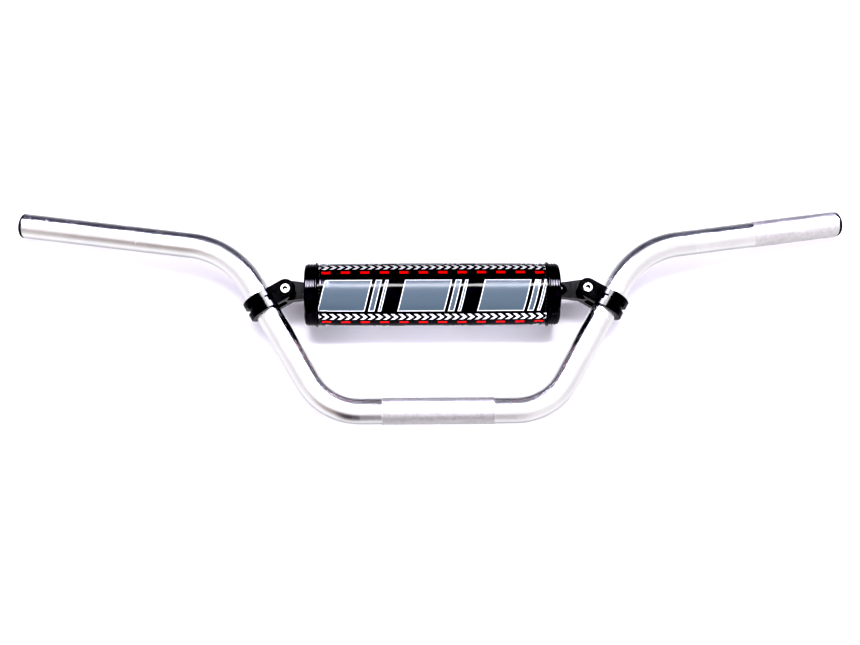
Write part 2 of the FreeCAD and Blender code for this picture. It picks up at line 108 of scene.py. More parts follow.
# Pad sizes that its CAD boxes don't give.
RING_STEPS = 128
UNEVENNESS_SCALE = 90
COVER_THICKNESS = 1.1 * MM
COVER_QUAD = 3.5 * MM
COVER_ROW_GATHER = 0.4
COVER_INSET = 0.5 * MM
CROWN_RISE = 0.35 * MM
CROWN_REACH = 12 * MM
PUCKER_DEPTH = 0.35 * MM
PUCKER_REACH = 9 * MM
SEAM_FROM_END = 2.2 * MM
SEAM_DEPTH = 0.45 * MM
SEAM_SPREAD = 1.3 * MM
PIPING_RADIUS = 0.9 * MM
PIPING_HALF_TURN_DEG = 150
PIPING_STEPS = 13
PIPING_TAIL_DEPTH = 2.0 * MM
PIPING_TAIL_HALF_WIDTH = 0.35 * MM
PIPING_UNEVENNESS = 0.1 * MM
FOAM_INSET = 0.3 * MM
FOAM_STEPS = 40
FOAM_UNEVENNESS = 0.15 * MM
BORE_RADIUS = 7.0 * MM
MOUTH_RADIUS = 9.2 * MM
MOUTH_DEPTH = 20 * MM
MOUTH_ROLL = 0.6 * MM
MOUTH_STEPS = 8
END_RIDGES = 3
END_RIDGE_DEPTH = 0.35 * MM
END_RIDGE_FULLNESS = 0.6
END_BAND_STEPS = 36
END_SHOULDER_RADIUS = 2.2 * MM
END_SHOULDER_STEPS = 8
END_DISC_THICKNESS = 2 * MM
END_DISC_RINGS = 4
END_DISC_RING_DEPTH = 0.25 * MM
END_DISC_STEPS = 24
END_FIT_GAP = 0.1 * MM
END_UNEVENNESS = 0.12 * MM
CLOSURE_ROWS = 90
CLOSURE_COLUMNS = 16
CLOSURE_CORNER = 4 * MM
CLOSURE_OUTSIDE = 0.8 * MM
CLOSURE_INSIDE = 0.05 * MM
CLOSURE_RIPPLE = 0.10 * MM
CLOSURE_SEAM_INSET = 2 * MM
STITCH_PITCH = 3.0 * MM
STITCH_LENGTH = 2.2 * MM
STITCH_WIDTH = 0.55 * MM
STITCH_LIFT = 0.05 * MM
STITCH_SLANT = 0.12

# The cloth that swells the cover.
CLOTH_FRAMES = 20
CLOTH_QUALITY = 6
CLOTH_MASS = 0.2
CLOTH_PRESSURE = 4
CLOTH_SHRINK = -0.012
CLOTH_HELD_REACH = 3 * MM
COVER_SWELL_LIMIT = 0.5 * MM

# Print on the cover. Angles go round the pad from the side that faces the viewer, up positive.
PRINT_FACING_DEG = 13.0
PRINT_REPEAT_DEG = 105.0
PRINT_REPEATS = 3
PRINT_END_MARGIN = 1.2 * MM
PRINT_SLANT = 0.24
PANELS = 3
PANEL_LOW_DEG = -31.8
PANEL_HIGH_DEG = 28.4
PANEL_PITCH = 67.5 * MM
PANEL_LEAN_ROOM = 7 * MM
PANEL_BARS = ((0.0, 40.0), (42.8, 48.3), (51.0, 54.0))
OUTLINE = 1.0 * MM
CHEVRON_LOW_DEG = -52.0
CHEVRON_HIGH_DEG = -37.0
CHEVRON_PITCH = 6.5 * MM
CHEVRON_WIDTH = 3.4 * MM
DASH_LOW_DEG = 41.5
DASH_HIGH_DEG = 48.3
DASH_PITCH = 16.5 * MM
DASH_LENGTH = 7.9 * MM
DASH_START = 94.4 * MM

# Node trees

class Graph:
    """A node tree with one short call per node. A socket or a plain value can be given to any input."""

    def __init__(self, tree):
        self.tree = tree

    def add(self, kind, inputs, **settings):
        node = self.tree.nodes.new("ShaderNode" + kind)
        for name, value in settings.items():
            setattr(node, name, value)
        for key, value in inputs.items():
            self.put(node.inputs[key], value)
        return node

    def put(self, socket, value):
        if isinstance(value, bpy.types.NodeSocket):
            self.tree.links.new(value, socket)
        else:
            socket.default_value = value

    def math(self, operation, first, second=0.0, third=0.0):
        return self.add("Math", {0: first, 1: second, 2: third}, operation=operation).outputs[0]

    def vector(self, operation, first, second=(0, 0, 0)):
        return self.add("VectorMath", {0: first, 1: second}, operation=operation).outputs[0]

    def number(self, operation, first, second=(0, 0, 0)):
        return self.add("VectorMath", {0: first, 1: second}, operation=operation).outputs["Value"]

    def remap(self, value, low, high, to_low=0.0, to_high=1.0):
        inputs = {"Value": value, "From Min": low, "From Max": high, "To Min": to_low, "To Max": to_high}
        return self.add("MapRange", inputs).outputs["Result"]

    def noise(self, place, scale, detail=2.0, roughness=0.5):
        inputs = {"Vector": place, "Scale": scale, "Detail": detail, "Roughness": roughness}
        return self.add("TexNoise", inputs).outputs["Fac"]

    def cells(self, place, scale, feature="F1"):
        return self.add("TexVoronoi", {"Vector": place, "Scale": scale}, feature=feature).outputs["Distance"]

    def mix(self, share, first, second):
        return self.add("Mix", {0: share, 6: first, 7: second}, data_type="RGBA").outputs[2]

    def ramp(self, value, stops):
        """Colours along a value from 0 to 1. Each stop is a position and a colour."""
        node = self.add("ValToRGB", {"Fac": value})
        elements = node.color_ramp.elements
        while len(elements) < len(stops):
            elements.new(0.5)
        for element, (position, colour) in zip(elements, stops):
            element.position = position
            element.color = (*colour, 1)
        return node.outputs["Color"]

    def two_tone(self, value, low, high, colours):
        """A pair of colours, mixed by where the value lies between two limits."""
        return self.ramp(value, [(low, colours[0]), (high, colours[1])])

    def blend(self, first, second, share):
        """Two values, mixed by a fixed share of the second."""
        rest = self.math("MULTIPLY", first, 1 - share)
        return self.math("ADD", rest, self.math("MULTIPLY", second, share))

    def inside(self, value, low, high):
        """1 where the value lies between two limits, and 0 elsewhere."""
        above = self.math("GREATER_THAN", value, low)
        below = self.math("LESS_THAN", value, high)
        return self.math("MULTIPLY", above, below)

    def either(self, masks):
        total = masks[0]
        for mask in masks[1:]:
            total = self.math("MAXIMUM", total, mask)
        return total

    def bump(self, height, strength, distance, normal=None):
        inputs = {"Height": height, "Strength": strength, "Distance": distance}
        if normal is not None:
            inputs["Normal"] = normal
        return self.add("Bump", inputs).outputs["Normal"]


class Material(Graph):
    """A material with one Principled shader and the piece's own coordinates."""

    def __init__(self, name, **uniform):
        self.data = bpy.data.materials.new(name)
        self.data.use_nodes = True
        super().__init__(self.data.node_tree)
        self.shader = self.tree.nodes["Principled BSDF"]
        self.place = self.add("TexCoord", {}).outputs["Object"]
        for key, value in uniform.items():
            self.set(key.replace("_", " "), value)

    def set(self, name, value):
        self.put(self.shader.inputs[name], value)

    def stretched(self, scale):
        return self.vector("MULTIPLY", self.place, scale)

    def edge(self, radius):
        """Near 1 along outside and inside edges, and 0 on open faces."""
        rounded = self.add("Bevel", {"Radius": radius}, samples=6).outputs["Normal"]
        flat = self.add("NewGeometry", {}).outputs["Normal"]
        return self.remap(self.number("DOT_PRODUCT", rounded, flat), 0.995, 0.9)


# Metal

def from_axis(material, position, axis):
    """How far a point of the piece is from a line."""
    offset = material.vector("SUBTRACT", material.place, tuple(position))
    return material.number("LENGTH", material.vector("CROSS_PRODUCT", offset, tuple(axis)))


def near_clamps(material):
    """1 beside the clamps, and 0 away from them."""
    shares = []
    for node in ("clamp_left", "clamp_right"):
        low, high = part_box(node)
        away = material.number("DISTANCE", material.place, tuple((low + high) / 2))
        shares.append(material.remap(away, RUBBED_NEAR, RUBBED_FAR, 1.0, 0.0))
    return material.either(shares)


def satin_silver():
    """Clear anodised tube: a fine blasted grain, faint cloudiness, and rub marks beside the clamps."""
    material = Material("satin_silver", Metallic=1.0)
    cloud = material.noise(material.place, 35, 3)
    grain = material.noise(material.place, 3200, 2)
    drawn = material.noise(material.stretched((60, 900, 900)), 1, 2)
    rubbed = material.math("MULTIPLY", near_clamps(material), material.noise(material.place, 420, 4, 0.7))
    tone = material.blend(cloud, grain, 0.3)
    material.set("Base Color", material.two_tone(tone, 0.25, 0.75, TUBE_SILVER))
    cloudy = material.remap(cloud, 0.3, 0.7, 0.17, 0.23)
    smooth = material.math("ADD", cloudy, material.remap(drawn, 0.3, 0.7, 0, 0.03))
    material.set("Roughness", material.math("ADD", smooth, material.remap(rubbed, 0.35, 0.6, 0, 0.16)))
    material.set("Normal", material.bump(grain, 0.12, 0.03 * MM))
    return material.data


def knurled_silver(name, position, axis, radius):
    """The same metal on the knurl: darker and rougher in its valleys, paler and smoother on its points, with
    patches of dirt.
    """
    material = Material(name, Metallic=1.0)
    height = material.remap(from_axis(material, position, axis), radius, radius + KNURL_HEIGHT)
    dirt = material.noise(material.place, 260, 4, 0.65)
    level = material.math("SUBTRACT", height, material.remap(dirt, 0.45, 0.75, 0, 0.35))
    material.set("Base Color", material.two_tone(level, 0.0, 0.8, KNURL_SILVER))
    material.set("Roughness", material.remap(height, 0, 1, 0.42, 0.26))
    material.set("Normal", material.bump(material.noise(material.place, 2600, 2), 0.2, 0.03 * MM))
    return material.data


def gloss_black_anodised(name, lines, smoothest):
    """Black anodised aluminium: fine machining lines, faint cloudiness, and edges painted a little paler in
    patches, partly as rubbed wear and partly as a painted edge highlight.
    """
    material = Material(name, Metallic=0.1, Specular_IOR_Level=0.4)
    cut = material.noise(material.stretched(lines), 1, 2)
    cloud = material.noise(material.place, 180, 3)
    # Paler edges in patches: partly rubbed wear, partly a painted edge highlight.
    edge_wear_and_sheen = material.math("MULTIPLY", material.edge(0.3 * MM), material.remap(cloud, 0.4, 0.65))
    black = material.two_tone(cloud, 0.3, 0.75, ANODISED_BLACK)
    material.set("Base Color", material.mix(material.math("MULTIPLY", edge_wear_and_sheen, 0.3), black, EDGE_WEAR_AND_SHEEN_GREY))
    uneven = material.math("ADD", cut, cloud)
    material.set("Roughness", material.remap(uneven, 0.7, 1.3, smoothest, smoothest + 0.05))
    material.set("Normal", material.bump(cut, 0.10, 0.04 * MM))
    return material.data


def worn_metal(name, tones, smoothest):
    """Mottled metal with small scratches and paler edges, which are partly wear and partly a painted edge
    highlight, and its colour, which isn't set yet.
    """
    material = Material(name, Metallic=1.0)
    mottle = material.noise(material.place, 900, 4, 0.6)
    scratch = material.noise(material.stretched((300, 300, 4200)), 1, 3)
    level = material.blend(mottle, scratch, 0.4)
    # Paler edges: partly wear, partly a painted edge highlight.
    lit = material.math("ADD", level, material.math("MULTIPLY", material.edge(0.2 * MM), 0.25))
    colour = material.two_tone(lit, 0.3, 0.75, tones)
    material.set("Roughness", material.remap(mottle, 0.3, 0.7, smoothest, smoothest + 0.07))
    material.set("Normal", material.bump(scratch, 0.12, 0.02 * MM))
    return material, colour


def small_part(name, tones):
    """The metal of a nut, bush or pin."""
    material, colour = worn_metal(name, tones, 0.09)
    material.set("Base Color", colour)
    return material.data


def socket_screw():
    """A plated screw with painted shade, nearly black, on the walls of its socket and in a ring round its
    floor.
    """
    material, colour = worn_metal("screw_steel", SCREW_STEEL, 0.40)
    normal = material.add("NewGeometry", {}).outputs["Normal"]
    facing = material.add("SeparateXYZ", {0: normal}).outputs[1]
    sideways = material.remap(material.math("ABSOLUTE", facing), 0.7, 0.4)
    # Painted shade: the socket's walls, and a ring on its floor beside them, are painted nearly black.
    painted_shade_masks = []
    for side in ("left", "right"):
        low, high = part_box("pivot_screw_" + side)
        reach = from_axis(material, (low + high) / 2, (0, 1, 0))
        wall = material.math("MULTIPLY", sideways, material.math("LESS_THAN", reach, SOCKET_REACH))
        rim = material.remap(reach, SHADE_RING_START, SHADE_RING_FULL)
        painted_shade_masks.extend([wall, material.math("MULTIPLY", rim, material.math("LESS_THAN", reach, SHADE_RING_END))])
    material.set("Base Color", material.mix(material.either(painted_shade_masks), colour, SOCKET_PAINTED_SHADE))
    return material.data


def moulded_plug():
    """Moulded black plastic with a fine spark-eroded texture."""
    material = Material("moulded_plug", Specular_IOR_Level=0.4)
    texture = material.noise(material.place, 2400, 3)
    patch = material.noise(material.place, 200, 2)
    material.set("Base Color", material.two_tone(patch, 0.3, 0.7, PLUG_BLACK))
    material.set("Roughness", material.remap(patch, 0.3, 0.7, 0.34, 0.48))
    material.set("Normal", material.bump(texture, 0.35, 0.06 * MM))
    return material.data


# Pad materials

def vinyl_grain(material, normal=None):
    """A shallow leather-like grain under the gloss, over slow unevenness."""
    grain = material.cells(material.place, 900, "SMOOTH_F1")
    slow = material.noise(material.place, 70, 3)
    uneven = material.bump(slow, 0.25, 0.5 * MM, normal)
    return material.bump(grain, 0.10, 0.06 * MM, uneven)


def plain_vinyl(name, low_roughness, high_roughness):
    """Plain glossy black vinyl."""
    material = Material(name, Specular_IOR_Level=0.35)
    patch = material.noise(material.place, 110, 3)
    material.set("Base Color", material.two_tone(patch, 0.3, 0.7, PLAIN_BLACK))
    material.set("Roughness", material.remap(patch, 0.3, 0.7, low_roughness, high_roughness))
    material.set("Normal", vinyl_grain(material))
    return material.data


def degrees_round(material, centre_z):
    """The angle round the pad from the facing side, in degrees."""
    parts = material.add("SeparateXYZ", {0: material.place}).outputs
    rise = material.math("SUBTRACT", parts[2], centre_z)
    front = material.math("MULTIPLY", parts[1], -1.0)
    turn = material.math("DEGREES", material.math("ARCTAN2", rise, front))
    return material.math("ADD", turn, PRINT_FACING_DEG)


def panel_masks(material, row, slanted, metres_per_degree):
    """The slanted panels with their bars, as a fill and an outline."""
    first_panel = -PANELS / 2 * PANEL_PITCH + PANEL_LEAN_ROOM
    in_panel = material.math("WRAP", material.math("SUBTRACT", slanted, first_panel), PANEL_PITCH, 0.0)
    outline_deg = OUTLINE / metres_per_degree
    tall = material.inside(row, PANEL_LOW_DEG, PANEL_HIGH_DEG)
    inner_tall = material.inside(row, PANEL_LOW_DEG + outline_deg, PANEL_HIGH_DEG - outline_deg)
    outer = []
    inner = []
    for low, high in PANEL_BARS:
        outer.append(material.inside(in_panel, low * MM, high * MM))
        inner.append(material.inside(in_panel, low * MM + OUTLINE, high * MM - OUTLINE))
    whole = material.math("MULTIPLY", material.either(outer), tall)
    fill = material.math("MULTIPLY", material.either(inner), inner_tall)
    return fill, material.math("SUBTRACT", whole, fill)


def chevron_mask(material, row, along, metres_per_degree):
    """A row of chevrons under the panels."""
    from_middle = material.math("SUBTRACT", row, (CHEVRON_LOW_DEG + CHEVRON_HIGH_DEG) / 2)
    swept = material.math("MULTIPLY", material.math("ABSOLUTE", from_middle), metres_per_degree)
    in_chevron = material.math("WRAP", material.math("ADD", along, swept), CHEVRON_PITCH, 0.0)
    chevrons = material.math("LESS_THAN", in_chevron, CHEVRON_WIDTH)
    return material.math("MULTIPLY", chevrons, material.inside(row, CHEVRON_LOW_DEG, CHEVRON_HIGH_DEG))


def dash_mask(material, row, along):
    """A row of dashes over the panels."""
    in_dash = material.math("WRAP", material.math("ADD", along, DASH_START), DASH_PITCH, 0.0)
    dashes = material.math("LESS_THAN", in_dash, DASH_LENGTH)
    return material.math("MULTIPLY", dashes, material.inside(row, DASH_LOW_DEG, DASH_HIGH_DEG))


def print_masks(material, centre, radius, half_length):
    """Masks of the three inks, which are panel fill, white and red, and the angle within a repeat."""
    around = degrees_round(material, centre.z)
    half_repeat = PRINT_REPEAT_DEG / 2
    row = material.math("WRAP", around, half_repeat, -half_repeat)
    along = material.math("SUBTRACT", material.add("SeparateXYZ", {0: material.place}).outputs[0], centre.x)
    metres_per_degree = math.radians(1) * radius
    lean = material.math("MULTIPLY", row, metres_per_degree * PRINT_SLANT)
    slanted = material.math("SUBTRACT", along, lean)
    edge = half_length - PRINT_END_MARGIN
    reach = half_repeat * PRINT_REPEATS
    on_cover = material.inside(along, -edge, edge)
    printed = material.math("MULTIPLY", on_cover, material.inside(around, -reach, reach))

    fill, outline = panel_masks(material, row, slanted, metres_per_degree)
    white = material.either([outline, chevron_mask(material, row, along, metres_per_degree)])
    inks = []
    for mask in (fill, white, dash_mask(material, row, along)):
        inks.append(material.math("MULTIPLY", mask, printed))
    return inks, row


def printed_vinyl(centre, radius, half_length):
    """The cover's glossy vinyl with its screen-printed panels, chevrons and dashes, and the panels painted
    lighter towards their top as painted light.
    """
    material = Material("printed_vinyl", Specular_IOR_Level=0.35)
    (fill, white, red), row = print_masks(material, centre, radius, half_length)
    patch = material.noise(material.place, 110, 3)
    speck = material.noise(material.place, 1500, 3, 0.7)
    black = material.two_tone(patch, 0.3, 0.7, PRINTED_BLACK)
    # Painted light: the panels' fill runs from darker at their bottom to lighter at their top, as if lit
    # from above.
    height = material.remap(row, PANEL_LOW_DEG, PANEL_HIGH_DEG)
    height = material.math("ADD", height, material.remap(speck, 0.3, 0.7, -0.05, 0.05))
    low, middle, high = PANEL_INK_WITH_PAINTED_LIGHT
    panel = material.ramp(height, [(0.0, low), (0.5, middle), (1.0, high)])
    colour = material.mix(fill, black, panel)
    colour = material.mix(white, colour, material.two_tone(speck, 0.3, 0.7, WHITE_INK))
    colour = material.mix(red, colour, material.two_tone(speck, 0.3, 0.7, RED_INK))
    material.set("Base Color", colour)
    ink = material.either([fill, white, red])
    gloss = material.remap(patch, 0.3, 0.7, 0.08, 0.12)
    material.set("Roughness", material.math("ADD", gloss, material.math("MULTIPLY", ink, 0.14)))
    material.set("Normal", vinyl_grain(material, material.bump(ink, 0.5, 0.05 * MM)))
    return material.data


def cell_foam():
    """Closed-cell black foam."""
    material = Material("cell_foam", Roughness=0.9, Specular_IOR_Level=0.2)
    cells = material.cells(material.place, 1100)
    material.set("Base Color", material.two_tone(cells, 0.1, 0.6, FOAM_BLACK))
    material.set("Normal", material.bump(cells, 0.8, 0.3 * MM))
    return material.data


def sewing_thread():
    """Black polyester thread with its twist."""
    material = Material("sewing_thread", Sheen_Weight=0.3)
    twist = material.noise(material.stretched((4000, 1500, 4000)), 1, 2)
    material.set("Base Color", material.two_tone(twist, 0.3, 0.7, THREAD_BLACK))
    material.set("Roughness", material.remap(twist, 0.3, 0.7, 0.45, 0.7))
    material.set("Normal", material.bump(twist, 0.5, 0.1 * MM))
    return material.data


def woven_strip():
    """Woven nylon back of the closure strip: crossing yarns with a slight sheen."""
    material = Material("woven_strip", Sheen_Weight=0.25, Sheen_Roughness=0.4)
    parts = material.add("SeparateXYZ", {0: material.place}).outputs
    yarns_per_metre = 1400
    weft = material.math("SINE", material.math("MULTIPLY", parts[0], yarns_per_metre * math.pi))
    warp = material.math("SINE", material.math("MULTIPLY", parts[2], yarns_per_metre * math.pi))
    weave = material.math("MULTIPLY", weft, warp)
    fuzz = material.noise(material.place, 1800, 3)
    level = material.math("ADD", material.remap(weave, -1, 1, 0, 0.7), material.math("MULTIPLY", fuzz, 0.3))
    material.set("Base Color", material.two_tone(level, 0.1, 0.9, WEAVE_BLACK))
    material.set("Roughness", material.remap(fuzz, 0.3, 0.7, 0.55, 0.8))
    material.set("Normal", material.bump(level, 0.7, 0.15 * MM))
    return material.data


# Meshes

def piece_from(mesh_builder, name, body, material):
    """Turns a bmesh into a named, smooth piece that rides on a body."""
    bmesh.ops.recalc_face_normals(mesh_builder, faces=mesh_builder.faces)
    mesh = bpy.data.meshes.new(name)
    mesh_builder.to_mesh(mesh)
    mesh_builder.free()
    mesh.shade_smooth()
    mesh.materials.append(material)
    piece = bpy.data.objects.new(name, mesh)
    bpy.context.scene.collection.objects.link(piece)
    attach(piece, body)
    return piece


def join_rings(build, first, second):
    """Quads between two closed rings of vertices."""
    for step in range(len(first)):
        ahead = (step + 1) % len(first)
        build.faces.new((first[step], first[ahead], second[ahead], second[step]))


def join_lines(build, first, second):
    """Quads between two open lines of vertices."""
    for step in range(len(first) - 1):
        build.faces.new((first[step], first[step + 1], second[step + 1], second[step]))


def ring_point(x, radius, centre_z, angle):
    """A point of a circle about the X direction, angle 0 towards the viewer, up positive."""
    return Vector((x, -radius * math.cos(angle), centre_z + radius * math.sin(angle)))


def closed_ring(profile, unevenness):
    """A closed ring about the X direction. A profile point is (x, radius, its circle's height)."""
    build = bmesh.new()
    rings = []
    for x, radius, centre_z in profile:
        ring = []
        for step in range(RING_STEPS):
            angle = 2 * math.pi * step / RING_STEPS
            place = ring_point(x, radius, centre_z, angle)
            swell = unevenness * noise.noise(place * UNEVENNESS_SCALE)
            ring.append(build.verts.new(ring_point(x, radius + swell, centre_z, angle)))
        rings.append(ring)
    for index, ring in enumerate(rings):
        join_rings(build, ring, rings[(index + 1) % len(rings)])
    return build


def knurl(name, mount, root_radius, material):
    """A closed sleeve of pyramids over a mount's wall. Points and valley corners alternate on its grid."""
    length = mount["dims"]["length_mm"] * MM
    radius = mount["dims"]["r_mm"] * MM
    axis = Vector(mount["axis"]).normalized()
    side = axis.orthogonal().normalized()
    other = axis.cross(side)
    start = Vector(mount["pos_m"]) - axis * (length / 2)
    around = 2 * round(2 * math.pi * radius / KNURL_PITCH)
    rows = 2 * round(length / KNURL_PITCH)

    def level(row, step):
        if row in (0, rows):
            return root_radius
        if (row + step) % 2:
            return radius + KNURL_VALLEY_GAP
        turn = 2 * math.pi * step / around
        seed = Vector((math.cos(turn) * 9, math.sin(turn) * 9, row * 0.37))
        return radius + KNURL_HEIGHT * (1 - KNURL_UNEVENNESS * (0.5 + noise.noise(seed)))

    build = bmesh.new()
    rings = []
    for row in range(rows + 1):
        ring = []
        for step in range(around):
            turn = 2 * math.pi * step / around
            outward = side * math.cos(turn) + other * math.sin(turn)
            ring.append(build.verts.new(start + axis * (length * row / rows) + outward * level(row, step)))
        rings.append(ring)
    for row in range(rows):
        for step in range(around):
            ahead = (step + 1) % around
            corners = [rings[row][step], rings[row][ahead], rings[row + 1][ahead], rings[row + 1][step]]
            if (row + step) % 2:
                corners = corners[1:] + corners[:1]
            build.faces.new((corners[0], corners[1], corners[3]))
            build.faces.new((corners[1], corners[2], corners[3]))
    join_rings(build, rings[0], rings[rows])
    piece = piece_from(build, name, "handlebar", material)
    piece.data.shade_flat()
    return piece


# Pad pieces

COVER_LOW, COVER_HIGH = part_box("pad_cover")
PAD_CENTRE = (COVER_LOW + COVER_HIGH) / 2
PAD_RADIUS = (COVER_HIGH.z - COVER_LOW.z) / 2
COVER_HALF_LENGTH = (COVER_HIGH.x - COVER_LOW.x) / 2
CROSSBAR_Z = sum(corner.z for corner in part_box("crossbar_tube")) / 2
CLOSURE_LOW, CLOSURE_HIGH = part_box("pad_closure")
CLOSURE_MIDDLE = (CLOSURE_LOW.x + CLOSURE_HIGH.x) / 2
CLOSURE_HALF_LENGTH = (CLOSURE_HIGH.x - CLOSURE_LOW.x) / 2
CLOSURE_HALF_ANGLE = math.asin((CLOSURE_HIGH.z - CLOSURE_LOW.z) / 2 / PAD_RADIUS)


def cover_radius(from_end):
    """The cover dips at its seam beside the piping and is fullest a little further in."""
    seam = SEAM_DEPTH * math.exp(-((from_end - SEAM_FROM_END) / SEAM_SPREAD) ** 2)
    crown = CROWN_RISE * (1 - math.exp(-from_end / CROWN_REACH))
    return PAD_RADIUS - COVER_INSET - seam + crown


def cover_pucker(angle, from_end):
    """Small lengthwise gathers that fade away from the sewn ends."""
    wave = noise.noise(Vector((math.cos(angle) * 5, math.sin(angle) * 5, from_end * 20)))
    return PUCKER_DEPTH * wave * math.exp(-from_end / PUCKER_REACH)


def cover_tube():
    """The cover's outside as an open tube of quads."""
    around = round(2 * math.pi * PAD_RADIUS / COVER_QUAD / 4) * 4
    along = round(2 * COVER_HALF_LENGTH / COVER_QUAD)
    build = bmesh.new()
    rings = []
    for row in range(along + 1):
        # Rows gather towards the ends, where the seams are.
        share = row / along
        share -= COVER_ROW_GATHER * math.sin(2 * math.pi * share) / (2 * math.pi)
        x = COVER_LOW.x + 2 * COVER_HALF_LENGTH * share
        from_end = min(x - COVER_LOW.x, COVER_HIGH.x - x)
        ring = []
        for step in range(around):
            angle = 2 * math.pi * step / around
            radius = cover_radius(from_end) + cover_pucker(angle, from_end)
            ring.append(build.verts.new(ring_point(x, radius, PAD_CENTRE.z, angle)))
        rings.append(ring)
    for low_ring, high_ring in zip(rings, rings[1:]):
        join_rings(build, low_ring, high_ring)
    return build


def swell(piece):
    """Presses the cover outwards with cloth, its sewn ends held, and keeps the shape that comes of it."""
    held = piece.vertex_groups.new(name="held")
    start = []
    for vertex in piece.data.vertices:
        start.append(vertex.co.copy())
        if min(vertex.co.x - COVER_LOW.x, COVER_HIGH.x - vertex.co.x) < CLOTH_HELD_REACH:
            held.add([vertex.index], 1.0, "REPLACE")
    cloth = piece.modifiers.new("cloth", "CLOTH")
    cloth.settings.quality = CLOTH_QUALITY
    cloth.settings.mass = CLOTH_MASS
    cloth.settings.use_pressure = True
    cloth.settings.uniform_pressure_force = CLOTH_PRESSURE
    cloth.settings.shrink_min = CLOTH_SHRINK
    cloth.settings.effector_weights.gravity = 0
    cloth.settings.vertex_group_mass = "held"
    for step in range(1, CLOTH_FRAMES + 1):
        bpy.context.scene.frame_set(step)
    evaluated = piece.evaluated_get(bpy.context.evaluated_depsgraph_get())
    ended = [vertex.co.copy() for vertex in evaluated.data.vertices]
    piece.modifiers.remove(cloth)
    for vertex, before, after in zip(piece.data.vertices, start, ended):
        move = after - before
        if move.length > COVER_SWELL_LIMIT:
            move *= COVER_SWELL_LIMIT / move.length
        vertex.co = before + move
    piece.vertex_groups.clear()
    bpy.context.scene.frame_set(1)


def make_cover():
    """The printed cover: a swelled tube, smoothed and given its wall."""
    material = printed_vinyl(PAD_CENTRE, PAD_RADIUS, COVER_HALF_LENGTH)
    cover = piece_from(cover_tube(), "printed_cover", "pad", material)
    swell(cover)
    smooth = cover.modifiers.new("smooth", "SUBSURF")
    smooth.levels = 2
    smooth.render_levels = 2
    wall = cover.modifiers.new("wall", "SOLIDIFY")
    wall.thickness = COVER_THICKNESS
    wall.offset = -1
    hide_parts("pad_cover")


def make_piping(side, material):
    """A piped edge: a round cord under vinyl, whose tail crosses over itself and ends under the seam."""
    low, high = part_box("pad_piping_" + side)
    x = (low.x + high.x) / 2
    profile = []
    for step in range(PIPING_STEPS + 1):
        angle = math.radians(PIPING_HALF_TURN_DEG * (2 * step / PIPING_STEPS - 1))
        radius = PAD_RADIUS + PIPING_RADIUS * math.cos(angle)
        profile.append((x + PIPING_RADIUS * math.sin(angle), radius, PAD_CENTRE.z))
    for beside in (-PIPING_TAIL_HALF_WIDTH, PIPING_TAIL_HALF_WIDTH):
        profile.append((x + beside, PAD_RADIUS - PIPING_TAIL_DEPTH, PAD_CENTRE.z))
    build = closed_ring(profile, PIPING_UNEVENNESS)
    piece = piece_from(build, "piping_" + side, "pad", material)
    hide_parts("pad_piping_" + side)


def end_profile(inner_x, outer_x, radius):
    """Half the section of a pad end: a ridged band, a round shoulder, a ringed disc and a rolled hole."""
    outward = 1 if outer_x > inner_x else -1
    profile = []
    band_end = outer_x - outward * END_SHOULDER_RADIUS
    for step in range(END_BAND_STEPS + 1):
        share = step / END_BAND_STEPS
        ridge = 0.5 - 0.5 * math.cos(2 * math.pi * END_RIDGES * share)
        dip = END_RIDGE_DEPTH * (1 - ridge ** END_RIDGE_FULLNESS)
        profile.append((inner_x + (band_end - inner_x) * share, radius - dip, PAD_CENTRE.z))
    shoulder_radius = radius - END_RIDGE_DEPTH - END_SHOULDER_RADIUS
    for step in range(1, END_SHOULDER_STEPS + 1):
        angle = math.radians(90 * step / END_SHOULDER_STEPS)
        profile.append((
            band_end + outward * END_SHOULDER_RADIUS * math.sin(angle),
            shoulder_radius + END_SHOULDER_RADIUS * math.cos(angle),
            PAD_CENTRE.z,
        ))
    hole_edge = MOUTH_RADIUS + MOUTH_ROLL
    for step in range(1, END_DISC_STEPS + 1):
        share = step / END_DISC_STEPS
        dip = END_DISC_RING_DEPTH * (0.5 - 0.5 * math.cos(2 * math.pi * END_DISC_RINGS * share))
        ring_radius = shoulder_radius + (hole_edge - shoulder_radius) * share
        # The disc is round the pad's axis outside and round the crossbar's at the hole.
        centre_z = PAD_CENTRE.z + (CROSSBAR_Z - PAD_CENTRE.z) * share
        profile.append((outer_x - outward * dip, ring_radius, centre_z))
    inside_x = outer_x - outward * END_DISC_THICKNESS
    middle = (outer_x + inside_x) / 2
    half = END_DISC_THICKNESS / 2
    for step in range(1, MOUTH_STEPS):
        angle = math.pi * step / MOUTH_STEPS
        rolled_radius = MOUTH_RADIUS + MOUTH_ROLL * (1 - math.sin(angle))
        profile.append((middle + outward * half * math.cos(angle), rolled_radius, CROSSBAR_Z))
    profile.append((inside_x, hole_edge, CROSSBAR_Z))
    inside_radius = PAD_RADIUS - COVER_THICKNESS - END_FIT_GAP
    profile.append((inside_x, inside_radius, PAD_CENTRE.z))
    profile.append((inner_x, inside_radius, PAD_CENTRE.z))
    return profile


def make_end(side, material):
    """The plain band and disc that close one end of the pad."""
    low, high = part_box("pad_end_" + side)
    inner_x, outer_x = (low.x, high.x) if side == "left" else (high.x, low.x)
    build = closed_ring(end_profile(inner_x, outer_x, (high.z - low.z) / 2), END_UNEVENNESS)
    piece = piece_from(build, "end_cap_" + side, "pad", material)
    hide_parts("pad_end_" + side)


